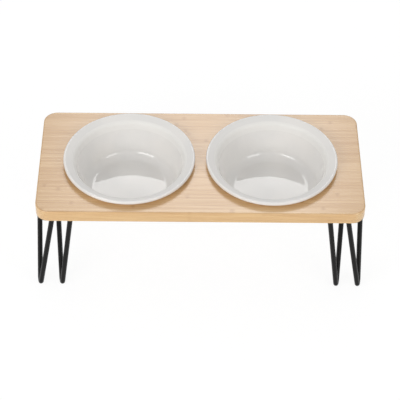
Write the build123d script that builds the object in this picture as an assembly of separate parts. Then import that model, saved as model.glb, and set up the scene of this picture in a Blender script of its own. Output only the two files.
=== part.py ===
from build123d import *
from math import cos, radians, sqrt, tan
import os

# A raised feeder for a small pet: a bamboo board with two round holes holds
# two glazed bowls by their lips, and stands on eight hairpins of bent steel
# rod, two under each corner. Millimetres, +Z up, +X to the right, +Y to the
# back. The origin is on the floor, under the middle of the board.

# The board
BOARD_LENGTH = 400.0
BOARD_DEPTH = 182.0
BOARD_THICKNESS = 16.0
BOARD_CORNER_RADIUS = 17.0
BOARD_EDGE_RADIUS = 1.2
HOLE_CHAMFER = 0.5
STAND_HEIGHT = 140.0

# The bowls: radii from the bowl's own axis, heights from the board's top
BOWL_SPACING = 177.0
RIM_RADIUS = 81.7
RIM_HEIGHT = 8.0
RIM_BEAD_RADIUS = 1.95
LIP_SLOPE = 21.0
UNDERCUT_SLOPE = 42.0
UNDERCUT_FILLET = 1.5
SEAT_RADIUS = 77.0
NECK_CLEARANCE = 1.0
CREASE_RADIUS = 69.0
CREASE_FILLET = 8.0
BASIN_DEPTH = 50.0
BASIN_FLOOR_RADIUS = 54.5
BASIN_FLOOR_FILLET = 9.0
BOWL_WALL = 4.2
BOWL_HEEL_FILLET = 10.0
FOOT_RING_RADIUS = 49.0
FOOT_RING_WIDTH = 4.0
FOOT_RING_HEIGHT = 1.6
FOOT_RING_FILLET = 0.5

# The hairpins: insets are measured inwards from the board's end and side, and
# the rod's diameter is 6 mm steel with its powder coat. Each foot is turned a
# little, so its front rod stands FOOT_SKEW further in than its rear rod.
ROD_DIAMETER = 6.3
FOOT_BEND_RADIUS = 4.0
FOOT_FLAT = 0.5
FOOT_OVERHANG = 1.35
FOOT_INSET = 15.3
FOOT_PITCH = 27.2
FOOT_SKEW = 1.5
TOP_INSET = 9.0
TOP_PITCH = 22.2
FAN_LENGTH = 16.3
FAN_DEPTH = 20.0
WELD_LEG = 1.6
WELD_TOE = 0.4

# The mounting plates and their screws
PLATE_THICKNESS = 2.5
PLATE_END_MARGIN = 0.5
PLATE_SIDE_MARGIN = 3.5
PLATE_OVERLAP = 5.0
PLATE_CORNER_RADIUS = 4.0
SCREW_DIAMETER = 3.5
SCREW_LENGTH = 12.5
SCREW_POINT = 3.0
SCREW_HEAD_DIAMETER = 7.0
SCREW_HEAD_HEIGHT = 2.3
SCREW_HEAD_TAPER = 0.8
SCREW_EDGE = 6.0
SCREW_HOLE_CLEARANCE = 0.4
PILOT_CLEARANCE = 0.05
PILOT_EXTRA_DEPTH = 0.8

rod_radius = ROD_DIAMETER / 2
board_underside = STAND_HEIGHT - BOARD_THICKNESS
plate_underside = board_underside - PLATE_THICKNESS

# The bowl's heights are from the board's top. The lip's top slopes down from
# the bead to the crease, and the basin's wall leans in from there to the floor.
lip_edge = RIM_HEIGHT - RIM_BEAD_RADIUS + RIM_BEAD_RADIUS / tan(radians(45 - LIP_SLOPE / 2))
crease_height = lip_edge - (RIM_RADIUS - CREASE_RADIUS) * tan(radians(LIP_SLOPE))
undercut_edge = (RIM_RADIUS - SEAT_RADIUS) * tan(radians(UNDERCUT_SLOPE))
basin_floor = RIM_HEIGHT - BASIN_DEPTH
heel_height = basin_floor - BOWL_WALL
bowl_foot = heel_height - FOOT_RING_HEIGHT
wall_lean = (CREASE_RADIUS - BASIN_FLOOR_RADIUS) / (crease_height - basin_floor)

# The wall is BOWL_WALL thick, measured square to it. The neck is where its
# outside meets the seat, and the board's holes follow the neck.
wall_offset = BOWL_WALL * sqrt(1 + wall_lean**2)
neck_radius = CREASE_RADIUS - wall_lean * crease_height + wall_offset
heel_radius = neck_radius + wall_lean * heel_height
hole_radius = neck_radius + NECK_CLEARANCE

# A corner is a pair of signs: which end of the board, and which side.
CORNERS = {
    "front_left": (-1, -1),
    "front_right": (1, -1),
    "rear_left": (-1, 1),
    "rear_right": (1, 1),
}

# Where the two hairpins of a corner stand, as insets. The rear rod of the
# outer one is the outermost, and its side lines up with the plate's end.
outer_rear_top = PLATE_END_MARGIN + rod_radius
hairpin_tops = {
    "outer": outer_rear_top,
    "inner": outer_rear_top + TOP_PITCH,
}
hairpin_feet = {
    "outer": -FOOT_OVERHANG,
    "inner": FOOT_PITCH - FOOT_OVERHANG,
}
plate_end = hairpin_tops["inner"] + FAN_LENGTH + rod_radius + PLATE_OVERLAP
plate_side = TOP_INSET + FAN_DEPTH + rod_radius + PLATE_OVERLAP
plate_round = BOARD_CORNER_RADIUS - PLATE_SIDE_MARGIN


def inset(end_inset, side_inset):
    """A place under the board, measured inwards from its front left corner."""
    return end_inset - BOARD_LENGTH / 2, side_inset - BOARD_DEPTH / 2


def mirrored(shape, corner):
    """A front left piece carried over to another corner."""
    end_sign, side_sign = corner
    if end_sign > 0:
        shape = shape.mirror(Plane.YZ)
    if side_sign > 0:
        shape = shape.mirror(Plane.XZ)
    return shape


def rounded_face(corners):
    """A flat face from (u, v, radius) corners, each rounded by its radius."""
    face = make_face(Polyline(*[(u, v) for u, v, _ in corners], close=True))
    for u, v, radius in corners:
        if radius > 0:
            nearest = face.vertices().sort_by_distance((u, v, 0))[0]
            face = fillet(nearest, radius)
    return face


def screw_places():
    """A plate's four screws: three between the rods, one on its round corner's diagonal."""
    between = TOP_PITCH / 2
    reach = (plate_round - SCREW_EDGE) * cos(radians(45))
    return [
        inset(hairpin_tops["outer"] + FAN_LENGTH + between, TOP_INSET),
        inset(hairpin_tops["outer"] + between, TOP_INSET + FAN_DEPTH),
        inset(hairpin_tops["inner"] + between, TOP_INSET + FAN_DEPTH),
        inset(PLATE_END_MARGIN + plate_round - reach, PLATE_SIDE_MARGIN + plate_round - reach),
    ]


def make_board():
    """The board: rounded corners, eased edges, two bowl holes and the screws' pilot holes."""
    outline = RectangleRounded(BOARD_LENGTH, BOARD_DEPTH, BOARD_CORNER_RADIUS)
    board = Pos(0, 0, board_underside) * extrude(outline, BOARD_THICKNESS)
    faces = board.faces().sort_by(Axis.Z)
    board = fillet(faces[0].edges() + faces[-1].edges(), BOARD_EDGE_RADIUS)
    for sign in (-1, 1):
        place = Pos(sign * BOWL_SPACING / 2, 0, STAND_HEIGHT - BOARD_THICKNESS / 2)
        board -= place * Cylinder(hole_radius, BOARD_THICKNESS * 2)
        mouth = Pos(sign * BOWL_SPACING / 2, 0, STAND_HEIGHT - HOLE_CHAMFER / 2)
        board -= mouth * Cone(hole_radius, hole_radius + HOLE_CHAMFER, HOLE_CHAMFER)
    depth = SCREW_LENGTH - PLATE_THICKNESS + PILOT_EXTRA_DEPTH
    pilot = Cylinder(SCREW_DIAMETER / 2 + PILOT_CLEARANCE, depth)
    for corner in CORNERS.values():
        for x, y in screw_places():
            hole = Pos(x, y, board_underside + depth / 2) * pilot
            board -= mirrored(hole, corner)
    return board


def make_bowl(sign):
    """A bowl: foot ring, tapered wall, flat seat under a flared lip with a rounded bead."""
    recess_radius = FOOT_RING_RADIUS - FOOT_RING_WIDTH
    corners = [
        (0, heel_height, 0),
        (recess_radius, heel_height, FOOT_RING_FILLET),
        (recess_radius, bowl_foot, FOOT_RING_FILLET),
        (FOOT_RING_RADIUS, bowl_foot, FOOT_RING_FILLET),
        (FOOT_RING_RADIUS, heel_height, FOOT_RING_FILLET),
        (heel_radius, heel_height, BOWL_HEEL_FILLET),
        (neck_radius, 0, 0),
        (SEAT_RADIUS, 0, UNDERCUT_FILLET),
        (RIM_RADIUS, undercut_edge, RIM_BEAD_RADIUS),
        (RIM_RADIUS, lip_edge, RIM_BEAD_RADIUS),
        (CREASE_RADIUS, crease_height, CREASE_FILLET),
        (BASIN_FLOOR_RADIUS, basin_floor, BASIN_FLOOR_FILLET),
        (0, basin_floor, 0),
    ]
    bowl = revolve(Plane.XZ * rounded_face(corners), Axis.Z)
    return Pos(sign * BOWL_SPACING / 2, 0, STAND_HEIGHT) * bowl


def make_hairpin(which):
    """One rod bent round a tight foot, its two ends fanned apart and cut flush at the plate."""
    foot_half = FOOT_BEND_RADIUS + FOOT_FLAT / 2
    front_top = inset(hairpin_tops[which] + FAN_LENGTH, TOP_INSET)
    rear_top = inset(hairpin_tops[which], TOP_INSET + FAN_DEPTH)
    front_foot = inset(hairpin_feet[which] + FOOT_SKEW / 2, FOOT_INSET - foot_half)
    rear_foot = inset(hairpin_feet[which] - FOOT_SKEW / 2, FOOT_INSET + foot_half)
    rise = plate_underside - rod_radius

    def above(foot, top):
        """The rod's line carried on past the plate's underside, to be cut off there."""
        share = (rise + ROD_DIAMETER) / rise
        x = foot[0] + (top[0] - foot[0]) * share
        y = foot[1] + (top[1] - foot[1]) * share
        return x, y, rod_radius + rise * share

    path = FilletPolyline(
        above(front_foot, front_top),
        (*front_foot, rod_radius),
        (*rear_foot, rod_radius),
        above(rear_foot, rear_top),
        radius=FOOT_BEND_RADIUS,
    )
    section = Plane(path @ 0, z_dir=path % 0) * Circle(rod_radius)
    hairpin = sweep(section, path)
    weld_toe = rod_radius + WELD_TOE
    for x, y in (front_top, rear_top):
        weld = Cone(weld_toe, weld_toe + WELD_LEG, WELD_LEG)
        hairpin += Pos(x, y, plate_underside - WELD_LEG / 2) * weld
    top = Plane((0, 0, plate_underside))
    return split(hairpin, bisect_by=top, keep=Keep.BOTTOM)


def make_plate():
    """The plate that two hairpins are welded to, rounded with the board's corner."""
    corners = [
        (*inset(PLATE_END_MARGIN, PLATE_SIDE_MARGIN), plate_round),
        (*inset(plate_end, PLATE_SIDE_MARGIN), PLATE_CORNER_RADIUS),
        (*inset(plate_end, plate_side), PLATE_CORNER_RADIUS),
        (*inset(PLATE_END_MARGIN, plate_side), PLATE_CORNER_RADIUS),
    ]
    plate = Pos(0, 0, plate_underside) * extrude(rounded_face(corners), PLATE_THICKNESS)
    hole = Cylinder(SCREW_DIAMETER / 2 + SCREW_HOLE_CLEARANCE, PLATE_THICKNESS * 2)
    for x, y in screw_places():
        plate -= Pos(x, y, plate_underside) * hole
    return plate


def make_screw():
    """A pan-head wood screw, its head's flat side at the origin and its point up."""
    shank = SCREW_DIAMETER / 2
    head = SCREW_HEAD_DIAMETER / 2
    profile = Polyline(
        (0, SCREW_LENGTH),
        (shank, SCREW_LENGTH - SCREW_POINT),
        (shank, 0),
        (head, 0),
        (head - SCREW_HEAD_TAPER, -SCREW_HEAD_HEIGHT),
        (0, -SCREW_HEAD_HEIGHT),
        close=True,
    )
    return revolve(Plane.XZ * make_face(profile), Axis.Z)


nodes = {
    "board": make_board(),
    "left_bowl": make_bowl(-1),
    "right_bowl": make_bowl(1),
}
plate = make_plate()
hairpins = {which: make_hairpin(which) for which in hairpin_tops}
screws = [Pos(x, y, plate_underside) * make_screw() for x, y in screw_places()]
for name, corner in CORNERS.items():
    nodes[name + "_plate"] = mirrored(plate, corner)
    nodes[name + "_screws"] = Compound(children=[mirrored(screw, corner) for screw in screws])
    for which, hairpin in hairpins.items():
        nodes[name + "_" + which + "_hairpin"] = mirrored(hairpin, corner)

os.makedirs("parts", exist_ok=True)
for name, shape in nodes.items():
    export_step(shape, "parts/" + name + ".step")
    print(name, round(shape.volume, 1))
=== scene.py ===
# %% [markdown]
# # An elevated pet feeder, one surface at a time
#
# The object is a bamboo board with two round holes. Two glazed bowls hang in
# the holes by their lips, and eight hairpins of bent steel rod hold the board
# off the floor. The construction is already solved: it loads below as a fixed
# frame of CAD nodes. This lesson gives that frame its finished surfaces, its
# camera and its light.
#
# The frame could be modelled again by eye, but then nothing would meet. So
# every piece here takes its place from the frame and only adds looks.

# %% Load the frame
from math import atan2, ceil, cos, pi, radians, sin, sqrt, tan

import bmesh
import bpy
import numpy as np
from mathutils import Matrix


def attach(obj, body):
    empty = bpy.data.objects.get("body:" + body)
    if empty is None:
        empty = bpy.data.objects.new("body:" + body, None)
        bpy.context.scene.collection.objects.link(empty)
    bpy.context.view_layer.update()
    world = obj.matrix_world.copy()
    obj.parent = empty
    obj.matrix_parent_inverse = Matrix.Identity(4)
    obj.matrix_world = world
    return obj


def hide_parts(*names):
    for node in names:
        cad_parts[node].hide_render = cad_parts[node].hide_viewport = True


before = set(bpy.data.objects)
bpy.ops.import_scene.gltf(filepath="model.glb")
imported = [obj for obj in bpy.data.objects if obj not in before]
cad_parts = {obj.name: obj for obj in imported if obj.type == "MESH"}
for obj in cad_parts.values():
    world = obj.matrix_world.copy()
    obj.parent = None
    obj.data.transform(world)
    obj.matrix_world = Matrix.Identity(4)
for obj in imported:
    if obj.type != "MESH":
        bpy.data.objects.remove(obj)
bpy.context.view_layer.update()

print("nodes:", len(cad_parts))

# %% [markdown]
# ## The camera
#
# The photograph looks down on the feeder from the front with a long lens, so
# its sides run almost parallel. A camera could be nudged until the picture
# looks right. A fitted one is better: the board's edges and the bowls' rims
# give the focal length, the height and three small turns. The turns are a
# pitch down, then a yaw about the vertical, then a roll about the lens.

# %% Objects and where they stand
MM = 0.001


def unit(vector):
    """The same direction with a length of one."""
    return vector / np.linalg.norm(vector)


def new_object(name, data):
    """An object that shows some data, linked into the scene."""
    made = bpy.data.objects.new(name, data)
    bpy.context.scene.collection.objects.link(made)
    return made


def put_at(thing, axes, place):
    """Stands an object at a place, with its own three axes turned to three given directions."""
    pose = np.eye(4)
    pose[:3, :3] = np.column_stack(axes)
    pose[:3, 3] = place
    thing.matrix_world = Matrix(pose.tolist())


print("a millimetre is", MM, "units")

# %% Place the camera
PHOTO_SIDE = 400
FOCAL_IN_PIXELS = 1573.3
SENSOR = 36.0
NEAREST_SEEN = 0.01
FARTHEST_SEEN = 100
PITCH = radians(44.29)
YAW = radians(-0.538)
ROLL = radians(0.864)
CAMERA_PLACE = np.array([-13.4, -1434.9, 1473.1]) * MM


def camera_axes(pitch, yaw, roll):
    """The camera's right, up and back directions. A forward look is tipped down by the pitch:
    forward is cos(pitch) level - sin(pitch) vertical. Before that the level direction is turned
    about the vertical by the yaw, and after it right and up are rolled about the view."""
    right = np.array([cos(yaw), sin(yaw), 0.0])
    level = np.array([-sin(yaw), cos(yaw), 0.0])
    vertical = np.array([0.0, 0.0, 1.0])
    forward = cos(pitch) * level - sin(pitch) * vertical
    up = sin(pitch) * level + cos(pitch) * vertical
    return (
        cos(roll) * right + sin(roll) * up,
        cos(roll) * up - sin(roll) * right,
        -forward,
    )


camera_data = bpy.data.cameras.new("camera")
camera_data.sensor_width = SENSOR
camera_data.lens = FOCAL_IN_PIXELS * SENSOR / PHOTO_SIDE
camera_data.clip_start = NEAREST_SEEN
camera_data.clip_end = FARTHEST_SEEN
camera = new_object("camera", camera_data)
put_at(camera, camera_axes(PITCH, YAW, ROLL), CAMERA_PLACE)
bpy.context.scene.camera = camera
print("lens in mm:", round(camera_data.lens, 1))

# %% [markdown]
# ## A small kit for materials
#
# A node material is a chain of small sums. Written out one link at a time it
# is long and hard to read. So one helper adds a node and sets its options, and
# another types a value into a socket or links another node's output to it.

# %% Colours
CURVE_START = 0.04045
CURVE_SLOPE = 12.92
CURVE_OFFSET = 0.055
CURVE_POWER = 2.4


def colour(red, green, blue):
    """A colour given as 0 to 255 on screen, turned to the linear light that a shader works in.
    Each channel is divided by 255. A dark one is then divided by the curve's slope, and any other
    becomes ((channel + offset) / (1 + offset)) to the curve's power."""
    channels = np.array([red, green, blue]) / 255
    curved = ((channels + CURVE_OFFSET) / (1 + CURVE_OFFSET)) ** CURVE_POWER
    linear = np.where(channels <= CURVE_START, channels / CURVE_SLOPE, curved)
    return (*(float(c) for c in linear), 1.0)


WHITE = colour(255, 255, 255)
print("middle grey in linear light:", round(colour(128, 128, 128)[0], 3))


# %% Nodes and sums
def fill(tree, node, inputs):
    """Types numbers and colours into a node's sockets, and links other nodes' outputs to them."""
    for name, value in inputs.items():
        if isinstance(value, bpy.types.NodeSocket):
            tree.links.new(value, node.inputs[name])
        else:
            node.inputs[name].default_value = value


def add(tree, kind, inputs=None, **options):
    """Adds one node, sets its options and fills its sockets."""
    made = tree.nodes.new("ShaderNode" + kind)
    for name, value in options.items():
        setattr(made, name, value)
    fill(tree, made, inputs or {})
    return made


def math(tree, operation, *values):
    """One sum on one, two or three values, which are numbers or sockets."""
    return add(tree, "Math", dict(enumerate(values)), operation=operation).outputs[0]


def between(tree, value, low, high, out_low=0.0, out_high=1.0):
    """A value carried smoothly from one range to another and held at its ends."""
    sockets = ("Value", "From Min", "From Max", "To Min", "To Max")
    inputs = dict(zip(sockets, (value, low, high, out_low, out_high)))
    made = add(tree, "MapRange", inputs, interpolation_type="SMOOTHSTEP")
    return made.outputs["Result"]


# A Mix node has the sockets of every kind of value in one row, so they go by number: the
# share, the first value, the second value and the output.
MIX_SOCKETS = {"RGBA": (0, 6, 7, 2), "FLOAT": (0, 2, 3, 0)}


def blend(tree, share, first, second, how="MIX", kind="RGBA"):
    """Two colours or two numbers mixed: a share of 0 is the first, and 1 the second."""
    *sockets, mixed = MIX_SOCKETS[kind]
    inputs = dict(zip(sockets, (share, first, second)))
    return add(tree, "Mix", inputs, data_type=kind, blend_type=how).outputs[mixed]


print("sums ready")


# %% Patterns and materials
# Noise hardly ever leaves this range.
NOISE_RANGE = (0.3, 0.7)


def stretched(tree, place, scale):
    """Object coordinates multiplied by a scale for each axis, so that a pattern runs along one."""
    made = add(tree, "Mapping", {"Vector": place, "Scale": scale})
    return made.outputs["Vector"]


def noise(tree, vector, scale=1.0, detail=2.0, roughness=0.5):
    """Soft random values from 0 to 1 that change smoothly over the vector."""
    inputs = {"Vector": vector, "Scale": scale, "Detail": detail, "Roughness": roughness}
    return add(tree, "TexNoise", inputs).outputs[0]


def new_material(name):
    """An empty material: its tree, its shader and the object coordinates of the surface."""
    material = bpy.data.materials.new(name)
    material.use_nodes = True
    tree = material.node_tree
    shader = tree.nodes["Principled BSDF"]
    place = add(tree, "TexCoord").outputs["Object"]
    return material, tree, shader, place


def bumped(tree, height, distance, strength):
    """The surface's direction tilted by a height pattern, as fine relief would tilt it."""
    inputs = {"Height": height, "Distance": distance, "Strength": strength}
    return add(tree, "Bump", inputs).outputs["Normal"]


print("patterns ready")

# %% [markdown]
# ## The studio
#
# The photograph was taken on white with soft light. Three things give the
# light away. Each bowl shows two short bright strips low on its back wall: the
# mirror images of two lamps that stand low at the front corners. The middle of
# the board and the bowls' floors shine, so a third, weaker lamp stands behind,
# as high as the camera, where a flat surface mirrors it. The rest is the even
# light of a pale room.
#
# The ground goes white by a glow that only the camera and reflections see,
# laid over a pale surface that still takes the object's shadow. More lamp
# power would make it white too, but it would bleach the object as well.

# %% What the camera and reflections see
def looked_at(tree):
    """1 for a ray that comes from the camera, a reflection or glass, and 0 for one that lights."""
    rays = add(tree, "LightPath")
    seen = math(tree, "MAXIMUM", rays.outputs["Is Camera Ray"], rays.outputs["Is Glossy Ray"])
    return math(tree, "MAXIMUM", seen, rays.outputs["Is Transmission Ray"])


print("seen rays ready")

# %% Floor, backdrop and world
FLOOR_SIDE = 40.0
GROUND_COLOUR = colour(240, 240, 240)
GROUND_ROUGHNESS = 0.9
GROUND_GLOW = 1.05
GROUND_GLOW_SHARE = 0.86
ROOM_LIGHT = 0.53

floor_mesh = bpy.data.meshes.new("floor")
floor_corners = np.array([[-1, -1, 0], [1, -1, 0], [1, 1, 0], [-1, 1, 0]]) * FLOOR_SIDE / 2
floor_mesh.from_pydata(floor_corners.tolist(), [], [(0, 1, 2, 3)])
floor = new_object("floor", floor_mesh)

ground, tree, shader, _ = new_material("ground")
fill(tree, shader, {"Base Color": GROUND_COLOUR, "Roughness": GROUND_ROUGHNESS})
glow = add(tree, "Emission", {"Color": WHITE, "Strength": GROUND_GLOW})
share = math(tree, "MULTIPLY", looked_at(tree), GROUND_GLOW_SHARE)
covered = add(tree, "MixShader", {0: share, 1: shader.outputs[0], 2: glow.outputs[0]})
fill(tree, tree.nodes["Material Output"], {"Surface": covered.outputs[0]})
floor_mesh.materials.append(ground)

world = bpy.data.worlds.new("studio")
world.use_nodes = True
bpy.context.scene.world = world
sky = world.node_tree
level = between(sky, looked_at(sky), 0.0, 1.0, ROOM_LIGHT, 1.0)
fill(sky, sky.nodes["Background"], {"Color": WHITE, "Strength": level})
print("ground and sky made")

# %% [markdown]
# ### The lamps
#
# Each lamp is a soft box: a rectangle that glows. Its direction is given as an
# azimuth round the object and a height above the horizon, because that is how
# a photographer thinks of it, and it always faces the middle of the board.

# %% Lamps
BOARD_TOP = 140.0 * MM
LAMP_AIM = np.array([0.0, 0.0, BOARD_TOP])
LAMP_FACTS = ("azimuth", "height", "distance", "size", "watts")
LAMPS = {
    "back_lamp": (179, 42.8, 1.6, (0.7, 0.45), 3.7),
    "left_lamp": (-42, 25, 1.7, (1.0, 0.62), 11.4),
    "right_lamp": (45, 25, 1.7, (0.8, 0.62), 6.6),
}


def place_lamp(name, azimuth, height, distance, size, watts):
    """A soft box on a sphere round the board: azimuth 0 is the camera's side, 90 the right. Its
    direction is (sin azimuth cos height, -cos azimuth cos height, sin height), and its own axes
    are that direction, a level one square to it, and the cross product of the two."""
    turn, lift = radians(azimuth), radians(height)
    away = np.array([sin(turn) * cos(lift), -cos(turn) * cos(lift), sin(lift)])
    data = bpy.data.lights.new(name, "AREA")
    data.shape = "RECTANGLE"
    data.size, data.size_y = size
    data.energy = watts
    lamp = new_object(name, data)
    side = unit(np.cross([0.0, 0.0, 1.0], away))
    put_at(lamp, (side, np.cross(away, side), away), LAMP_AIM + away * distance)
    lamp.visible_camera = False


for lamp_name, values in LAMPS.items():
    facts = dict(zip(LAMP_FACTS, values))
    place_lamp(lamp_name, **facts)
    print(lamp_name, facts)

# %% [markdown]
# ## Shapes from sums
#
# The bowls and screws are spun round an axis, as on a potter's wheel or a
# lathe, and the legs are bent from rod. Both start from the same thing: a line
# with rounded corners. A bevel modifier could round them later, but then the
# radius would depend on the mesh. Worked out as arcs, each corner has its drawn
# radius. A line spun or swept gives a grid of points, and a grid becomes a mesh
# by joining each point to its neighbours.

# %% Rounded lines
ARC_STEP = radians(6)
FEWEST_ARC_POINTS = 3


def rounded_line(corners, radii, step=ARC_STEP):
    """A line through corner points with each inner corner rounded. The arc touches both runs at
    radius / tan(half the corner's angle) from the corner, its centre lies on the bisector at
    radius / sin(half the angle), and its points turn evenly from one spoke to the other:
    sin((1 - s) turn) / sin(turn) of the first spoke plus sin(s turn) / sin(turn) of the second."""
    corners = np.array(corners, float)
    points = [corners[0]]
    for before, corner, after, radius in zip(corners, corners[1:], corners[2:], radii):
        if radius <= 0:
            points.append(corner)
            continue
        to_before, to_after = unit(before - corner), unit(after - corner)
        half = np.arccos(np.clip(to_before @ to_after, -1, 1)) / 2
        bisector = unit(to_before + to_after)
        centre = corner + bisector * radius / sin(half)
        first = corner + to_before * radius / tan(half) - centre
        second = corner + to_after * radius / tan(half) - centre
        turn = pi - 2 * half
        share = np.linspace(0, 1, max(FEWEST_ARC_POINTS, ceil(turn / step) + 1))[:, None]
        spokes = (np.sin((1 - share) * turn) * first + np.sin(share * turn) * second) / sin(turn)
        points.extend(centre + spokes)
    points.append(corners[-1])
    return np.array(points)


def evenly_split(line, longest):
    """The same line with points added, so that no run is longer than a limit."""
    runs = np.linalg.norm(np.diff(line, axis=0), axis=1)
    pieces = [
        np.linspace(start, end, max(1, ceil(run / longest)), endpoint=False)
        for start, end, run in zip(line, line[1:], runs)
    ]
    return np.vstack([*pieces, line[-1:]])


print("a square corner of radius 1:", len(rounded_line([(2, 0), (0, 0), (0, 2)], [1])), "points")

# %% A grid's cells
def quads(rows, columns, round_rows=False, round_columns=False):
    """The four corner numbers of every cell of a grid, as whole arrays: a cell joins a point to
    the next in its row and the next in its column, and a round grid's last joins its first."""
    numbers = np.arange(rows * columns).reshape(rows, columns)
    if round_rows:
        numbers = np.vstack([numbers, numbers[:1]])
    if round_columns:
        numbers = np.hstack([numbers, numbers[:, :1]])
    cells = [numbers[:-1, :-1], numbers[1:, :-1], numbers[1:, 1:], numbers[:-1, 1:]]
    return np.stack(cells, axis=-1).reshape(-1, 4)


print("a grid of 3 by 4 points has", len(quads(3, 4)), "cells")

# %% Points and faces become a piece
SHARP_ANGLE = 35


def make_piece(name, points, faces, sharp_angle=SHARP_ANGLE):
    """A mesh object at the origin from whole arrays, shaded smooth except across sharp edges."""
    mesh = bpy.data.meshes.new(name)
    corner_lists = [list(map(int, face)) for face in faces]
    mesh.from_pydata(np.asarray(points, float).tolist(), [], corner_lists)
    mesh.validate()
    mesh.polygons.foreach_set("use_smooth", np.ones(len(mesh.polygons), bool))
    mesh.set_sharp_from_angle(angle=radians(sharp_angle))
    piece = new_object(name, mesh)
    print(name, "has", len(mesh.polygons), "faces")
    return piece


def clothe(pieces, material):
    """Gives several pieces their material."""
    for piece in pieces:
        piece.data.materials.append(material)
    print(material.name, "is on", len(pieces), "pieces")


print("pieces ready")

# %% Rings of points become a closed skin
def closed_skin(rings, first, last):
    """Rings of points joined into one closed skin: quads between neighbouring rings, then a fan of
    triangles from the first ring to one end point and from the last ring to the other."""
    count, around = rings.shape[:2]
    column = np.arange(around)
    after = np.roll(column, -1)
    total = count * around
    base = total - around
    faces = [
        *quads(count, around, round_columns=True)[:, ::-1],
        *np.stack([np.full(around, total), after, column], axis=-1),
        *np.stack([np.full(around, total + 1), base + column, base + after], axis=-1),
    ]
    return np.vstack([rings.reshape(-1, 3), [first], [last]]), faces


def spin(profile, around):
    """A profile of (radius, height) points spun round the vertical axis. The point at angle a is
    (radius cos a, radius sin a, height). Both ends of the profile lie on the axis."""
    angles = np.linspace(0, 2 * pi, around, endpoint=False)
    radius, height = profile[1:-1, :1], profile[1:-1, 1:]
    rings = np.broadcast_arrays(radius * np.cos(angles), radius * np.sin(angles), height)
    ends = [(0, 0, profile[end, 1]) for end in (0, -1)]
    return closed_skin(np.stack(rings, axis=-1), *ends)


cone_points, cone_faces = spin(np.array([(0, 0), (1, 0), (0, 1)]), 8)
print("a cone of 8 sides has", len(cone_points), "points and", len(cone_faces), "faces")

# %% [markdown]
# ## The bowls
#
# Each bowl was cast in a mould and glazed off-white. Seen from above it has a
# lip that slopes inwards, a soft crease, a tapering wall and a flat floor. The
# lip ends in a round bead and rests on the board by a narrow flat seat. The
# foot ring underneath was wiped clean of glaze, so that the bowl would not
# stick to the kiln shelf. In the firing the glaze ran down the wall and pooled
# at its foot, so the corner there is rounder than the mould's. The clay sagged
# a little less in the middle of the floor, which leaves a low dome, and a faint
# round mark shows where the slip was poured in.
#
# A bowl could be a squashed sphere with a solidify modifier. A spun profile is
# nearer to how it was made, and every radius of the real one has a number.

# %% The bowl's measures
BOWL_X = 88.5
RIM_RADIUS = 81.7
RIM_HEIGHT = 8.0
RIM_BEAD_RADIUS = 1.95
LIP_SLOPE = radians(21.0)
UNDERCUT_SLOPE = radians(42.0)
UNDERCUT_FILLET = 1.5
SEAT_RADIUS = 77.0
NECK_CLEARANCE = 1.0
CREASE_RADIUS = 69.0
CREASE_FILLET = 8.0
BASIN_DEPTH = 50.0
BASIN_FLOOR_RADIUS = 54.5
POOLED_FILLET = 14.0
BOWL_WALL = 4.2
BOWL_HEEL_FILLET = 10.0
FOOT_RING_RADIUS = 49.0
FOOT_RING_WIDTH = 4.0
FOOT_RING_HEIGHT = 1.6
FOOT_RING_FILLET = 0.5
BOWL_AROUND = 256
LONGEST_RUN = 1.5
FLOOR_DOME = 0.7
FLOOR_DOME_RADIUS = 43.5
POUR_MARK = 0.12
POUR_MARK_RADIUS = 9.0
print("bowl:", 2 * RIM_RADIUS, "mm across and", BASIN_DEPTH, "mm deep")

# %% Heights and radii that follow from them
lip_edge = RIM_HEIGHT - RIM_BEAD_RADIUS + RIM_BEAD_RADIUS / tan(pi / 4 - LIP_SLOPE / 2)
crease_height = lip_edge - (RIM_RADIUS - CREASE_RADIUS) * tan(LIP_SLOPE)
undercut_edge = (RIM_RADIUS - SEAT_RADIUS) * tan(UNDERCUT_SLOPE)
basin_floor = RIM_HEIGHT - BASIN_DEPTH
heel_height = basin_floor - BOWL_WALL
bowl_foot = heel_height - FOOT_RING_HEIGHT
wall_lean = (CREASE_RADIUS - BASIN_FLOOR_RADIUS) / (crease_height - basin_floor)
neck_radius = CREASE_RADIUS - wall_lean * crease_height + BOWL_WALL * sqrt(1 + wall_lean**2)
heel_radius = neck_radius + wall_lean * heel_height
hole_radius = neck_radius + NECK_CLEARANCE
ring_inside = FOOT_RING_RADIUS - FOOT_RING_WIDTH
print("neck radius:", round(neck_radius, 2), "mm, hole radius:", round(hole_radius, 2), "mm")

# %% The bowl's profile, from the middle underneath to the middle of the floor
bowl_corners = [
    (0, heel_height),
    (ring_inside, heel_height),
    (ring_inside, bowl_foot),
    (FOOT_RING_RADIUS, bowl_foot),
    (FOOT_RING_RADIUS, heel_height),
    (heel_radius, heel_height),
    (neck_radius, 0),
    (SEAT_RADIUS, 0),
    (RIM_RADIUS, undercut_edge),
    (RIM_RADIUS, lip_edge),
    (CREASE_RADIUS, crease_height),
    (BASIN_FLOOR_RADIUS, basin_floor),
    (0, basin_floor),
]
bowl_radii = [
    *[FOOT_RING_FILLET] * 4,
    BOWL_HEEL_FILLET,
    0,
    UNDERCUT_FILLET,
    *[RIM_BEAD_RADIUS] * 2,
    CREASE_FILLET,
    POOLED_FILLET,
]
bowl_profile = evenly_split(rounded_line(bowl_corners, bowl_radii), LONGEST_RUN)
print("profile points:", len(bowl_profile))


# %% A low dome and a mark on the floor
def swell(radius, height, reach):
    """A low round swelling: its height times (1 - (radius / reach) squared) squared, flat at the
    middle and at its edge."""
    share = np.clip(1 - (radius / reach) ** 2, 0, 1)
    return height * share**2


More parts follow.
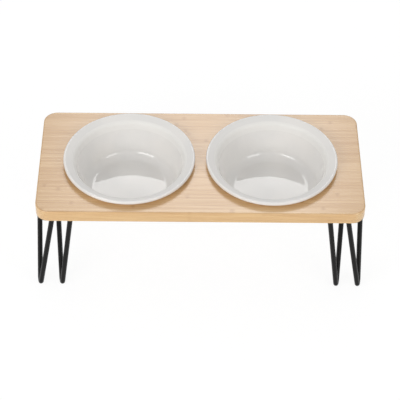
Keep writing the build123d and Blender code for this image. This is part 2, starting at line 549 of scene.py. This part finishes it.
inside = bowl_profile[:, 1] > (basin_floor + heel_height) / 2
on_floor = inside & (bowl_profile[:, 0] < FLOOR_DOME_RADIUS)
floor_radius = bowl_profile[on_floor, 0]
bowl_profile[on_floor, 1] += swell(floor_radius, FLOOR_DOME, FLOOR_DOME_RADIUS)
bowl_profile[on_floor, 1] += swell(floor_radius, POUR_MARK, POUR_MARK_RADIUS)
print("highest rim:", round(bowl_profile[:, 1].max(), 2), "mm above the board")

# %% Spin both bowls
BOWL_SHARP_ANGLE = 60

bowls = []
for side, sign in (("left", -1), ("right", 1)):
    points, faces = spin(bowl_profile, BOWL_AROUND)
    points = points * MM + np.array([sign * BOWL_X * MM, 0, BOARD_TOP])
    bowl = make_piece(side + "_glazed_bowl", points, faces, BOWL_SHARP_ANGLE)
    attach(bowl, side + "_bowl")
    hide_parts(side + "_bowl")
    bowls.append(bowl)

# %% [markdown]
# ### The glaze
#
# Glaze is glass over pale clay. It is white with a little warmth, very smooth,
# and never quite even: it runs thinner where the surface turns, and it wavers.
# At the crease between lip and wall the glaze is thinner still and loses most of
# its shine, and there its colour is painted lighter as a painted highlight.
# Below the wall the wiped ring shows bare clay, which is rough and creamier.
#
# Each part could have a material of its own, but then the change would be a
# hard line. The distance from the bowl's axis and the height above the floor
# tell the parts apart, so one material does them all with soft changes.

# %% The glaze's colours and places
GLAZE = colour(226, 224, 221)
GLAZE_UNEVEN = colour(231, 228, 224)
# A painted highlight: the glaze's crease band is painted this lighter colour.
CREASE_PAINTED_HIGHLIGHT = colour(231, 229, 225)
BARE_CLAY = colour(214, 203, 186)
DARK_CLAY = colour(188, 174, 152)
GLAZE_IOR = 1.5
GLAZE_ROUGHNESS = (0.015, 0.03)
THIN_ROUGHNESS = 0.5
CLAY_ROUGHNESS = 0.75
CLAY_GRAIN_RELIEF = 0.4
GLAZE_RELIEF = 0.12 * MM
GLAZE_DRIFT_RANGE = (0.35, 0.65)
SPECK_RANGE = (0.74, 0.80)
SPECK_SHARE = 0.10
DARK_CLAY_SHARE = 0.35
# The crease band of rougher, thinner glaze and painted highlight begins and is full
# at these distances inside and outside the crease.
THIN_AND_HIGHLIGHT_INSIDE = (-4.5, -1.5)
THIN_AND_HIGHLIGHT_OUTSIDE = (4.0, 1.0)
# The crease band of rougher glaze and painted highlight begins and is full at these
# heights from the board's top.
THIN_AND_HIGHLIGHT_ABOVE = (-14.0, -6.0)
WIPED_BAND = 0.4

ring_line = BOARD_TOP + (heel_height - FOOT_RING_FILLET) * MM
print("the glaze ends", round(ring_line / MM, 1), "mm above the floor")


# %% Where the glaze is thin
def thin_glaze_and_painted_highlight(tree, axes):
    """1 on the crease of either bowl and 0 elsewhere: the band where the glaze is thinner
    and rougher, and is painted lighter as a painted highlight. The distance from the nearer
    bowl's axis is the root of (|x| - BOWL_X) squared plus y squared."""
    sideways = math(tree, "SUBTRACT", math(tree, "ABSOLUTE", axes.outputs["X"]), BOWL_X * MM)
    squares = [math(tree, "POWER", side, 2) for side in (sideways, axes.outputs["Y"])]
    radius = math(tree, "SQRT", math(tree, "ADD", *squares))
    inside, outside = (
        between(tree, radius, *((CREASE_RADIUS + gap) * MM for gap in gaps))
        for gaps in (THIN_AND_HIGHLIGHT_INSIDE, THIN_AND_HIGHLIGHT_OUTSIDE)
    )
    above = between(tree, axes.outputs["Z"], *(BOARD_TOP + gap * MM for gap in THIN_AND_HIGHLIGHT_ABOVE))
    return math(tree, "MULTIPLY", math(tree, "MULTIPLY", inside, outside), above)


print("thin from radius", CREASE_RADIUS + THIN_AND_HIGHLIGHT_INSIDE[0], "mm")

# %% Glaze material
def glaze_material():
    """Glaze that drifts in tone, thinner and rougher at the crease with a painted highlight there,
    a few specks, and bare clay below.
    """
    material, tree, shader, place = new_material("white_glaze")
    axes = add(tree, "SeparateXYZ", {"Vector": place})
    thin_and_highlight = thin_glaze_and_painted_highlight(tree, axes)
    drift = between(tree, noise(tree, place, scale=18, detail=2), *GLAZE_DRIFT_RANGE)
    body = blend(tree, drift, GLAZE, GLAZE_UNEVEN)
    # The crease band is painted lighter: a painted highlight.
    body = blend(tree, thin_and_highlight, body, CREASE_PAINTED_HIGHLIGHT)
    speck = noise(tree, place, scale=900, detail=1)
    speck = between(tree, speck, *SPECK_RANGE, 0, SPECK_SHARE)
    body = blend(tree, speck, body, BARE_CLAY)
    bare = between(tree, axes.outputs["Z"], ring_line, ring_line - WIPED_BAND * MM)
    grain = noise(tree, place, scale=1400, detail=3)
    dark = between(tree, grain, *NOISE_RANGE, 0, DARK_CLAY_SHARE)
    clay = blend(tree, dark, BARE_CLAY, DARK_CLAY)
    smooth = between(tree, noise(tree, place, scale=45), *NOISE_RANGE, *GLAZE_ROUGHNESS)
    smooth = math(tree, "MULTIPLY_ADD", thin_and_highlight, THIN_ROUGHNESS, smooth)
    waver = noise(tree, place, scale=55, detail=1)
    sand = math(tree, "MULTIPLY", grain, bare)
    relief = math(tree, "MULTIPLY_ADD", sand, CLAY_GRAIN_RELIEF, waver)
    fill(tree, shader, {
        "Base Color": blend(tree, bare, body, clay),
        "Roughness": blend(tree, bare, smooth, CLAY_ROUGHNESS, kind="FLOAT"),
        "IOR": GLAZE_IOR,
        "Normal": bumped(tree, relief, GLAZE_RELIEF, strength=0.3),
    })
    return material


clothe(bowls, glaze_material())

# %% [markdown]
# ## The board
#
# The board is bamboo: narrow strips glued side by side, planed flat, with
# rounded corners and edges eased with sandpaper. Two round holes are cut in it
# for the bowls.
#
# A slab with holes is usually a boolean, which leaves long thin triangles. Here
# each half is one grid instead. Its columns are rays from the hole's centre, and
# its rows walk round the section: up the hole's wall, out across the top, over
# the eased edge, down the side and back underneath. Where a ray points at the
# middle of the board there is no edge to walk over, so those cells are left out
# and the two halves are joined there.

# %% The board's measures
BOARD_LENGTH = 400.0
BOARD_DEPTH = 182.0
BOARD_THICKNESS = 16.0
BOARD_CORNER_RADIUS = 17.0
BOARD_EDGE_RADIUS = 1.2
HOLE_CHAMFER = 0.5
EDGE_RAYS = 420
SEAM_RAYS = 60
TOP_SHARES = np.array([0, 0.015, 0.2, 0.4, 0.6, 0.8, 0.985, 1])
HOLE_ROWS = 5
EASING_ROWS = 7
print("board:", BOARD_LENGTH, "x", BOARD_DEPTH, "x", BOARD_THICKNESS, "mm")


# %% The board's outline, seen from a hole
def outline_hit(angles):
    """Where rays from the right hole's centre meet the flat top's outline, and which way is out.
    A ray ends at the nearest of the three sides and the middle line. In a corner's square it
    ends on the corner's circle: t = d.c + sqrt(r r - c.c + (d.c)(d.c)), where d is the ray's
    direction and c the way from the hole's centre to the circle's."""
    half_x = BOARD_LENGTH / 2 - BOARD_EDGE_RADIUS
    half_y = BOARD_DEPTH / 2 - BOARD_EDGE_RADIUS
    round_off = BOARD_CORNER_RADIUS - BOARD_EDGE_RADIUS
    along = np.stack([np.cos(angles), np.sin(angles)], axis=-1)
    with np.errstate(divide="ignore"):
        to_end = np.where(along[:, 0] > 0, (half_x - BOWL_X) / along[:, 0], np.inf)
        to_middle = np.where(along[:, 0] < 0, -BOWL_X / along[:, 0], np.inf)
        to_side = half_y / np.abs(along[:, 1])
    reach = np.minimum(np.minimum(to_end, to_middle), to_side)
    hit = along * reach[:, None]
    out = np.zeros_like(hit)
    out[to_side <= to_end, 1] = np.sign(along[to_side <= to_end, 1])
    out[to_end < to_side, 0] = 1
    upward = np.sign(along[:, 1])
    centre_x = np.full(len(angles), half_x - BOWL_X - round_off)
    centre = np.stack([centre_x, upward * (half_y - round_off)], axis=-1)
    in_corner = (hit[:, 0] > centre[:, 0]) & (np.abs(hit[:, 1]) > half_y - round_off)
    dot = np.sum(along * centre, axis=1)
    gap = np.sum(centre * centre, axis=1)
    on_circle = along * (dot + np.sqrt(np.maximum(round_off**2 - gap + dot**2, 0)))[:, None]
    hit[in_corner] = on_circle[in_corner]
    out[in_corner] = (on_circle - centre)[in_corner] / round_off
    return hit, out


middle_angle = atan2(BOARD_DEPTH / 2 - BOARD_EDGE_RADIUS, -BOWL_X)
edge_angles = np.linspace(-middle_angle, middle_angle, EDGE_RAYS)
seam_angles = np.linspace(middle_angle, 2 * pi - middle_angle, SEAM_RAYS + 2)[1:-1]
print("rays to the edge:", len(edge_angles), "to the middle:", len(seam_angles))

# %% Rings round one hole
def board_half():
    """The right half as rings of points, from the hole's lower edge round the section and back.
    Between the hole and the outline a row is a straight mix of the two, with a row close to each
    so that the flat face shades flat right up to its edge. Over an eased edge the point moves
    out by radius sin(t) and down by radius (1 - cos(t)), with t from 0 to 90 degrees."""
    angles = np.concatenate([edge_angles, seam_angles])
    hit, out = outline_hit(angles)
    out[len(edge_angles):] = 0
    spoke = np.stack([np.cos(angles), np.sin(angles)], axis=-1)
    top, bottom = 0.0, -BOARD_THICKNESS
    ease = BOARD_EDGE_RADIUS

    def ring(flat, height):
        return np.column_stack([flat, np.full(len(angles), height)])

    hole_levels = np.linspace(bottom, top - HOLE_CHAMFER, HOLE_ROWS)
    rows = [ring(spoke * hole_radius, level) for level in hole_levels]
    mouth = spoke * (hole_radius + HOLE_CHAMFER)
    rows += [ring(mouth + (hit - mouth) * s, top) for s in TOP_SHARES]
    band_start = len(rows) - 1
    turns = np.linspace(0, pi / 2, EASING_ROWS)[1:]
    rows += [ring(hit + out * ease * sin(t), top - ease * (1 - cos(t))) for t in turns]
    rows += [ring(hit + out * ease * sin(t), bottom + ease * (1 - cos(t))) for t in turns[::-1]]
    rows += [ring(hit + (spoke * hole_radius - hit) * s, bottom) for s in TOP_SHARES[:-1]]
    band_end = len(rows) - len(TOP_SHARES) + 1
    return np.array(rows), band_start, band_end


print("rings and points in each:", board_half()[0].shape[:2])

# %% Mirror the half and join the two
MERGE_DISTANCE = 0.01


def board_mesh():
    """Both halves: the cells of the edge band that face the middle line are dropped, the second
    half is the first with x turned to -x and its cells wound the other way, and points that
    meet on the middle line are merged."""
    rows, band_start, band_end = board_half()
    count, around = rows.shape[:2]
    cells = quads(count, around, round_rows=True, round_columns=True)
    row, column = cells[:, 0] // around, cells[:, 0] % around
    in_band = (row >= band_start) & (row < band_end)
    at_middle = column >= len(edge_angles) - 1
    cells = cells[~(in_band & at_middle)]
    right = rows.reshape(-1, 3) + np.array([BOWL_X, 0, 0])
    left = right * np.array([-1, 1, 1])
    points = np.vstack([right, left]) * MM + np.array([0, 0, BOARD_TOP])
    return points, np.vstack([cells, cells[:, ::-1] + len(right)])


points, faces = board_mesh()
board = make_piece("bamboo_board", points, faces)
joined = bmesh.new()
joined.from_mesh(board.data)
bmesh.ops.remove_doubles(joined, verts=joined.verts, dist=MERGE_DISTANCE * MM)
loose = [v for v in joined.verts if not v.link_faces]
bmesh.ops.delete(joined, geom=loose, context="VERTS")
open_edges = sum(not e.is_manifold for e in joined.edges)
print("volume in ml:", round(joined.calc_volume(signed=True) * 1e6, 1), "open edges:", open_edges)
joined.to_mesh(board.data)
joined.free()
board.data.set_sharp_from_angle(angle=radians(SHARP_ANGLE))
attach(board, "stand")
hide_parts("board")

# %% [markdown]
# ### Bamboo
#
# Up close, bamboo is straight fibres, thousands of them, all running one way.
# The board is made of strips about as wide as a pencil, each cut from another
# cane, so each has its own tone. Every cane has a joint now and then, which
# stays as a faint darker bar across its strip.
#
# A wood picture could be wrapped round the board. Sums on the place in space
# are better here: the grain then runs through the board, so the front shows
# its lines and the ends show its dots, as a real board does. The upright sides
# are painted lighter and a little yellower than the top, as painted light that
# stands in for the front lamps, and their joints hardly show.

# %% The bamboo's colours and patterns
CANE_LIGHT = colour(216, 181, 133)
CANE_DARK = colour(187, 144, 95)
CANE_JOINT = colour(166, 120, 74)
STRIP_WIDTH = 6.0 * MM
STRIP_WAVER = 0.25 * MM
JOINT_SPACING = 0.23
JOINT_SHIFTS = 7
JOINT_DEPTH = 0.45
JOINT_HALF_WIDTH = (0.008, 0.03)
JOINT_SMUDGE = 0.02
JOINT_ON_SIDE = 0.25
# Painted light: the upright faces are painted this much lighter than the top.
SIDE_PAINTED_LIGHT = (1.16, 1.18, 1.12, 1.0)
BOARD_ROUGHNESS = (0.23, 0.29)
BOARD_GLOSS = 1.0
BOARD_RELIEF = 0.02 * MM
FIBRE_RANGE = (0.36, 0.64)
STREAK_RANGE = (0.34, 0.66)
# The upright part of the surface's direction on flat faces and on sides.
SIDE_RANGE = (0.75, 0.35)
# Each pattern's size along the three axes: a small first number makes it long.
WAVER_SCALE = (2, 8, 8)
FIBRE_SCALE = (22, 900, 900)
STREAK_SCALE = (6, 330, 330)
DRIFT_SCALE = (6, 22, 22)
# How much each pattern adds to the darkness.
FIBRE_SHARE = 0.28
STREAK_SHARE = 0.34
STRIP_SHARE = 0.24
DRIFT_SHARE = 0.14
print("strips across the board:", round(BOARD_DEPTH * MM / STRIP_WIDTH))


# %% The canes' joints
def cane_joints(tree, along, tone, streak):
    """How dark a joint is: each strip is shifted by its own tone, the place along it is divided by
    the spacing, and the joint lies where what is left over is a half, smudged by the streaks."""
    shifted = math(tree, "MULTIPLY_ADD", tone, JOINT_SPACING * JOINT_SHIFTS, along)
    share = math(tree, "FRACT", math(tree, "DIVIDE", shifted, JOINT_SPACING))
    off = math(tree, "ABSOLUTE", math(tree, "SUBTRACT", share, 0.5))
    smudge = math(tree, "MULTIPLY_ADD", streak, JOINT_SMUDGE, off)
    return between(tree, smudge, *JOINT_HALF_WIDTH, JOINT_DEPTH, 0.0)


def side_faces(tree):
    """1 on the board's upright faces and 0 on its flat ones, from the surface's own direction."""
    normal = add(tree, "SeparateXYZ", {"Vector": add(tree, "TexCoord").outputs["Normal"]})
    return between(tree, math(tree, "ABSOLUTE", normal.outputs["Z"]), *SIDE_RANGE)


print("a joint every", round(JOINT_SPACING / MM), "mm in each strip")

# %% Bamboo material
def bamboo_material():
    """Strips of their own tone with fibres, streaks, a slow drift and the canes' joints, with the
    upright faces painted lighter as painted light.
    """
    material, tree, shader, place = new_material("bamboo")
    axes = add(tree, "SeparateXYZ", {"Vector": place})
    waver = noise(tree, stretched(tree, place, WAVER_SCALE), detail=1)
    across = math(tree, "MULTIPLY_ADD", waver, STRIP_WAVER, axes.outputs["Y"])
    strip = math(tree, "FLOOR", math(tree, "DIVIDE", across, STRIP_WIDTH))
    tone = add(tree, "TexWhiteNoise", {"W": strip}, noise_dimensions="1D").outputs["Value"]
    fibre = noise(tree, stretched(tree, place, FIBRE_SCALE), detail=3, roughness=0.6)
    streak = noise(tree, stretched(tree, place, STREAK_SCALE), detail=2, roughness=0.55)
    drift = noise(tree, stretched(tree, place, DRIFT_SCALE), detail=2)
    mix = math(tree, "MULTIPLY", between(tree, fibre, *FIBRE_RANGE), FIBRE_SHARE)
    mix = math(tree, "MULTIPLY_ADD", between(tree, streak, *STREAK_RANGE), STREAK_SHARE, mix)
    mix = math(tree, "MULTIPLY_ADD", tone, STRIP_SHARE, mix)
    mix = math(tree, "MULTIPLY_ADD", between(tree, drift, *NOISE_RANGE), DRIFT_SHARE, mix)
    body = blend(tree, mix, CANE_LIGHT, CANE_DARK)
    on_side = side_faces(tree)
    joint = cane_joints(tree, axes.outputs["X"], tone, streak)
    joint = math(tree, "MULTIPLY", joint, between(tree, on_side, 0.0, 1.0, 1.0, JOINT_ON_SIDE))
    body = blend(tree, joint, body, CANE_JOINT)
    # The upright faces are painted lighter: painted light for the front lamps.
    body = blend(tree, on_side, body, blend(tree, 1.0, body, SIDE_PAINTED_LIGHT, "MULTIPLY"))
    relief = math(tree, "ADD", fibre, streak)
    fill(tree, shader, {
        "Base Color": body,
        "Roughness": between(tree, streak, *NOISE_RANGE, *BOARD_ROUGHNESS),
        "Specular IOR Level": BOARD_GLOSS,
        "Normal": bumped(tree, relief, BOARD_RELIEF, strength=0.5),
    })
    return material


clothe([board], bamboo_material())

# %% [markdown]
# ## The hairpins
#
# Each leg is one steel rod bent double. At the floor the bend is tight, and at
# the top the two ends fan apart and are welded to a plate under the board. Two
# of them stand side by side in each corner.
#
# A curve with a round bevel would do. The path here is the same rounded line as
# the bowl's profile, with one coordinate more, and a circle is carried along it.
# The last ring at each end is slid along the rod until it lies in the plate's
# plane, as a saw cuts a rod flush.

# %% The hairpin's measures
ROD_RADIUS = 3.15
FOOT_BEND_RADIUS = 4.0
FOOT_FLAT = 0.5
FOOT_OVERHANG = 1.35
FOOT_INSET = 15.3
FOOT_PITCH = 27.2
FOOT_SKEW = 1.5
TOP_INSET = 9.0
TOP_PITCH = 22.2
FAN_LENGTH = 16.3
FAN_DEPTH = 20.0
PLATE_END_MARGIN = 0.5
PLATE_UNDERSIDE = 121.5
ROD_SIDES = 28
ROD_BEND_STEP = radians(9)
LONGEST_ROD_RUN = 6.0

outer_rear_top = PLATE_END_MARGIN + ROD_RADIUS
hairpin_tops = {"outer": outer_rear_top, "inner": outer_rear_top + TOP_PITCH}
hairpin_feet = {"outer": -FOOT_OVERHANG, "inner": FOOT_PITCH - FOOT_OVERHANG}
print("insets of the tops:", hairpin_tops, "and of the feet:", hairpin_feet)


# %% The hairpin's path
def hairpin_path(which):
    """Front top, front foot, rear foot and rear top of a front left hairpin, its bends rounded.
    Insets are measured from the board's corner."""
    foot_half = FOOT_BEND_RADIUS + FOOT_FLAT / 2
    top, foot = hairpin_tops[which], hairpin_feet[which]
    corner = np.array([-BOARD_LENGTH / 2, -BOARD_DEPTH / 2, 0])
    turns = [
        (top + FAN_LENGTH, TOP_INSET, PLATE_UNDERSIDE),
        (foot + FOOT_SKEW / 2, FOOT_INSET - foot_half, ROD_RADIUS),
        (foot - FOOT_SKEW / 2, FOOT_INSET + foot_half, ROD_RADIUS),
        (top, TOP_INSET + FAN_DEPTH, PLATE_UNDERSIDE),
    ]
    path = rounded_line(np.array(turns) + corner, [FOOT_BEND_RADIUS] * 2, ROD_BEND_STEP)
    return evenly_split(path, LONGEST_ROD_RUN)


for which in hairpin_tops:
    lengths = np.linalg.norm(np.diff(hairpin_path(which), axis=0), axis=1)
    print(which, "rod length:", round(lengths.sum(), 1), "mm")

# %% Carry a circle along it
def tube(path, radius, sides):
    """A circle carried along a path. Across each point stand two directions square to the path:
    the x axis less its part along the path, and the cross product of the two. A point of the
    surface is path + radius (cos a first + sin a second). Both ends are slid along the path
    into the level of its end, and closed with a middle point."""
    along = np.gradient(path, axis=0)
    along /= np.linalg.norm(along, axis=1)[:, None]
    first = np.array([1.0, 0, 0]) - along[:, :1] * along
    first /= np.linalg.norm(first, axis=1)[:, None]
    second = np.cross(along, first)
    angles = np.linspace(0, 2 * pi, sides, endpoint=False)[None, :, None]
    circle = np.cos(angles) * first[:, None] + np.sin(angles) * second[:, None]
    rings = path[:, None] + radius * circle
    for end in (0, -1):
        slide = (path[end, 2] - rings[end][:, 2]) / along[end, 2]
        rings[end] += slide[:, None] * along[end]
    return closed_skin(rings, path[0], path[-1])


one_rod, _ = tube(hairpin_path("outer"), ROD_RADIUS, ROD_SIDES)
print("one rod:", len(one_rod), "points, lowest at", round(one_rod[:, 2].min(), 3), "mm")

# %% A bead of weld metal
WELD_WIDTH = 2.0
WELD_OUTSET = 0.30
WELD_DROP = 0.42
WELD_AROUND = 40
WELD_SECTION = 12
RIPPLES_ROUND = (5, 9, 14)
RIPPLE_DEPTH = 0.16


def weld_bead(place, seed):
    """A ring of weld metal round a rod's end: a fat, slightly wavy ring whose section is a
    circle pressed up against the plate. Its thickness is half the width times (1 + depth times
    the mean of three sines of the angle), each with its own count of waves and a random start."""
    wander = np.random.default_rng(seed).uniform(0, 2 * pi, len(RIPPLES_ROUND))
    around = np.linspace(0, 2 * pi, WELD_AROUND, endpoint=False)
    section = np.linspace(0, 2 * pi, WELD_SECTION, endpoint=False)
    waves = [np.sin(count * around + start) for count, start in zip(RIPPLES_ROUND, wander)]
    thick = WELD_WIDTH / 2 * (1 + RIPPLE_DEPTH * sum(waves) / len(waves))
    reach = ROD_RADIUS + WELD_WIDTH * WELD_OUTSET + thick[:, None] * np.cos(section)
    x = place[0] + reach * np.cos(around)[:, None]
    y = place[1] + reach * np.sin(around)[:, None]
    drop = np.minimum(-WELD_WIDTH * WELD_DROP + thick[:, None] * np.sin(section), 0)
    points = np.stack([x, y, place[2] + drop], axis=-1).reshape(-1, 3)
    return points, quads(len(around), len(section), round_rows=True, round_columns=True)[:, ::-1]


print("one bead:", len(weld_bead((0, 0, 0), 1)[0]), "points")

# %% Shapes joined into one
CORNERS = {
    "front_left": (1, 1),
    "front_right": (-1, 1),
    "rear_left": (1, -1),
    "rear_right": (-1, -1),
}


def joined_shapes(shapes):
    """Several shapes as one: each shape's point numbers start where the last shape's end."""
    points, faces, start = [], [], 0
    for shape_points, shape_faces in shapes:
        points.append(shape_points)
        faces += [np.asarray(face) + start for face in shape_faces]
        start += len(shape_points)
    return np.vstack(points), faces


print("corners:", ", ".join(CORNERS))

# %% Eight hairpins
ROD_SHARP_ANGLE = 50

hairpins = []
for corner, signs in CORNERS.items():
    flip = np.array([*signs, 1.0])
    for which in hairpin_tops:
        path = hairpin_path(which)
        seed = len(hairpins) * 2
        shapes = [
            tube(path, ROD_RADIUS, ROD_SIDES),
            weld_bead(path[0], seed),
            weld_bead(path[-1], seed + 1),
        ]
        points, faces = joined_shapes(shapes)
        if flip.prod() < 0:
            faces = [face[::-1] for face in faces]
        node = corner + "_" + which + "_hairpin"
        name = corner + "_" + which + "_rod"
        hairpin = make_piece(name, points * flip * MM, faces, ROD_SHARP_ANGLE)
        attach(hairpin, "stand")
        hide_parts(node)
        hairpins.append(hairpin)

# %% [markdown]
# ### Powder coat
#
# The steel is sprayed with a dry black powder and baked. The skin is satin,
# not glossy, with the fine ripple that painters call orange peel. Where a leg
# stands on the floor the coat is rubbed a little smoother and greyer. The
# height above the floor is enough to place that wear.

# %% Powder coat material
COAT_BLACK = colour(13, 11, 10)
COAT_RUBBED = colour(44, 43, 42)
COAT_ROUGHNESS = (0.30, 0.38)
COAT_GLOSS = 0.18
COAT_RELIEF = 0.03 * MM
# Wear begins and is full at these heights above the floor.
WEAR_HEIGHTS = (2.2 * MM, 0.2 * MM)
WEAR_BLOTCHES = (0.42, 0.62)


def coat_material():
    """A black satin skin with fine ripples, rubbed grey in blotches close to the floor."""
    material, tree, shader, place = new_material("black_steel")
    height = add(tree, "SeparateXYZ", {"Vector": place}).outputs["Z"]
    blotch = noise(tree, place, scale=160, detail=3)
    low = between(tree, height, *WEAR_HEIGHTS)
    worn = math(tree, "MULTIPLY", low, between(tree, blotch, *WEAR_BLOTCHES))
    peel = noise(tree, place, scale=1500, detail=2)
    fill(tree, shader, {
        "Base Color": blend(tree, worn, COAT_BLACK, COAT_RUBBED),
        "Roughness": between(tree, blotch, *NOISE_RANGE, *COAT_ROUGHNESS),
        "Specular IOR Level": COAT_GLOSS,
        "Normal": bumped(tree, peel, COAT_RELIEF, strength=0.7),
    })
    return material


coat = coat_material()
clothe(hairpins, coat)

# %% [markdown]
# ## The screws
#
# Sixteen wood screws hold the plates. A screw starts as plain wire. A die
# presses one end into a pan head with a cross for the driver, and two ribbed
# plates roll the thread, which winds up the shank to the point.
#
# Many models stop at a cylinder. Here a screw is one closed skin of rings, as
# the bowls are, only its radius and height also change with the angle. That
# is enough for both the cross and the thread.

# %% The screw's measures
SCREW_LENGTH = 12.5
SCREW_POINT = 3.0
SCREW_HEAD_RADIUS = 3.5
SCREW_HEAD_HEIGHT = 2.3
SCREW_HEAD_TAPER = 0.8
SCREW_HEAD_ROUND = 0.9
SCREW_UNDER_ROUND = 0.15
SCREW_SIDES = 48
SCREW_BEND_STEP = radians(12)
LONGEST_HEAD_RUN = 0.2
CROSS_REACH = 1.9
CROSS_HALF_WIDTH = 0.42
CROSS_DEPTH = 1.4
CROSS_WALL = 0.16
THREAD_CREST = 1.75
THREAD_ROOT = 1.2
THREAD_PITCH = 1.4
THREAD_RINGS = 78
THREAD_ENDS = 0.1
THREAD_START = 0.4
RIDGE_HALF_WIDTH = 0.3
SCREW_EDGE = 6.0
PLATE_SIDE_MARGIN = 3.5
print("thread turns:", round((SCREW_LENGTH - SCREW_POINT) / THREAD_PITCH, 1))

# %% The driver's cross
def cross_depth(x, y):
    """How deep the driver's cross is at a place on the head: full depth in an arm's middle, none
    beyond its sides and its end, with steep sides and a floor that rises to the end."""
    def arm(along, across):
        inside = np.clip((CROSS_HALF_WIDTH - np.abs(across)) / CROSS_WALL + 1, 0, 1)
        return inside * np.clip((CROSS_REACH - np.abs(along)) / (CROSS_REACH / 2), 0, 1)

    return CROSS_DEPTH * np.maximum(arm(x, y), arm(y, x))


print("the cross is", float(cross_depth(0, 0)), "mm deep in the middle")

# %% A screw's rings
def screw_skin():
    """One screw, head down, its head's flat side at height 0. The head is a spun profile with the
    cross pressed into it. The shank's radius is root + (crest - root) ridge, where the ridge
    rises and falls once each time height / pitch - angle / full turn grows by one, and near the
    point everything shrinks in a straight line."""
    angles = np.linspace(0, 2 * pi, SCREW_SIDES, endpoint=False)
    head_corners = [
        (0, -SCREW_HEAD_HEIGHT),
        (SCREW_HEAD_RADIUS - SCREW_HEAD_TAPER, -SCREW_HEAD_HEIGHT),
        (SCREW_HEAD_RADIUS, 0),
        (THREAD_ROOT, 0),
    ]
    head_rounds = [SCREW_HEAD_ROUND, SCREW_UNDER_ROUND]
    head_line = rounded_line(head_corners, head_rounds, SCREW_BEND_STEP)
    head_line = evenly_split(head_line, LONGEST_HEAD_RUN)[1:]
    radius = np.repeat(head_line[:, :1], SCREW_SIDES, axis=1)
    x, y = radius * np.cos(angles), radius * np.sin(angles)
    on_face = head_line[:, 1:] < -SCREW_HEAD_HEIGHT / 2
    head = np.stack([x, y, head_line[:, 1:] + cross_depth(x, y) * on_face], axis=-1)
    level = np.linspace(THREAD_ENDS, SCREW_LENGTH - THREAD_ENDS, THREAD_RINGS)[:, None]
    phase = np.mod(level / THREAD_PITCH - angles / (2 * pi), 1)
    ridge = np.clip(1 - np.abs(phase - 0.5) / RIDGE_HALF_WIDTH, 0, 1)
    ridge = ridge * np.clip(level - THREAD_START, 0, 1)
    radius = THREAD_ROOT + (THREAD_CREST - THREAD_ROOT) * ridge
    radius = radius * np.clip((SCREW_LENGTH - level) / SCREW_POINT, 0, 1)
    shank = np.broadcast_arrays(radius * np.cos(angles), radius * np.sin(angles), level)
    shank = np.stack(shank, axis=-1)
    middle = CROSS_DEPTH - SCREW_HEAD_HEIGHT
    return closed_skin(np.concatenate([head, shank]), (0, 0, middle), (0, 0, SCREW_LENGTH))


screw_points, screw_faces = screw_skin()
print("one screw:", len(screw_points), "points")

# %% Where the screws go
def screw_places():
    """A plate's four screws as insets from the board's corner: three stand between the rods, and
    one on the diagonal of the plate's rounded corner, so far in that its edge distance holds."""
    between_rods = TOP_PITCH / 2
    plate_round = BOARD_CORNER_RADIUS - PLATE_SIDE_MARGIN
    reach = (plate_round - SCREW_EDGE) * cos(pi / 4)
    return np.array([
        (hairpin_tops["outer"] + FAN_LENGTH + between_rods, TOP_INSET),
        (hairpin_tops["outer"] + between_rods, TOP_INSET + FAN_DEPTH),
        (hairpin_tops["inner"] + between_rods, TOP_INSET + FAN_DEPTH),
        (PLATE_END_MARGIN + plate_round - reach, PLATE_SIDE_MARGIN + plate_round - reach),
    ])


print("insets of a plate's screws:", screw_places().round(1).tolist())

# %% Four screws for each plate
GOLDEN_TURN = pi * (3 - sqrt(5))
SCREW_SHARP_ANGLE = 40

places = screw_places()
screw_sets = []
for corner, signs in CORNERS.items():
    shapes = []
    for place in places:
        turn = GOLDEN_TURN * (len(screw_sets) * len(places) + len(shapes))
        turned = np.array([[cos(turn), -sin(turn), 0], [sin(turn), cos(turn), 0], [0, 0, 1]])
        flat = (place - np.array([BOARD_LENGTH, BOARD_DEPTH]) / 2) * signs
        shapes.append((screw_points @ turned.T + np.array([*flat, PLATE_UNDERSIDE]), screw_faces))
    points, faces = joined_shapes(shapes)
    screws = make_piece(corner + "_wood_screws", points * MM, faces, SCREW_SHARP_ANGLE)
    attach(screws, "stand")
    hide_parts(corner + "_screws")
    screw_sets.append(screws)

# %% [markdown]
# ### Finishes for the hidden steel
#
# The plates are cut and drilled sheet, so their CAD shapes are right as they
# are and only need the legs' powder coat. The screws are black from an oil
# bath, with a trace of bare metal where the driver has turned in the cross.
# The height tells the cross and the head's face from the rest.

# %% Screw material
OILED_BLACK = colour(34, 34, 36)
RUBBED_STEEL = colour(122, 120, 117)
SCREW_METAL = 0.7
SCREW_ROUGHNESS = (0.30, 0.46)
SCREW_RELIEF = 0.02 * MM
# The head's face begins and is full at these depths below the plate.
FACE_DEPTHS = (0.4, 1.4)
RUB_BLOTCHES = (0.50, 0.70)
RUB_SHARES = (0.25, 1.0)


def screw_material():
    """Oiled black steel, rubbed bare in fine blotches, most of all on the head's face."""
    material, tree, shader, place = new_material("screw_steel")
    height = add(tree, "SeparateXYZ", {"Vector": place}).outputs["Z"]
    rub = noise(tree, place, scale=700, detail=4)
    levels = [(PLATE_UNDERSIDE - depth) * MM for depth in FACE_DEPTHS]
    face = between(tree, height, *levels, *RUB_SHARES)
    bare = math(tree, "MULTIPLY", face, between(tree, rub, *RUB_BLOTCHES))
    fill(tree, shader, {
        "Base Color": blend(tree, bare, OILED_BLACK, RUBBED_STEEL),
        "Metallic": SCREW_METAL,
        "Roughness": between(tree, rub, *NOISE_RANGE, *SCREW_ROUGHNESS),
        "Normal": bumped(tree, rub, SCREW_RELIEF, strength=0.5),
    })
    return material


clothe(screw_sets, screw_material())

# %% The plates' coat
plates = [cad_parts[corner + "_plate"] for corner in CORNERS]
for plate in plates:
    plate.data.materials.clear()
clothe(plates, coat)

# %% [markdown]
# ## The end
#
# The picture is shown with the plain view transform, so a colour comes out as
# it was written.

# %% Finish
bpy.context.scene.view_settings.view_transform = "Standard"
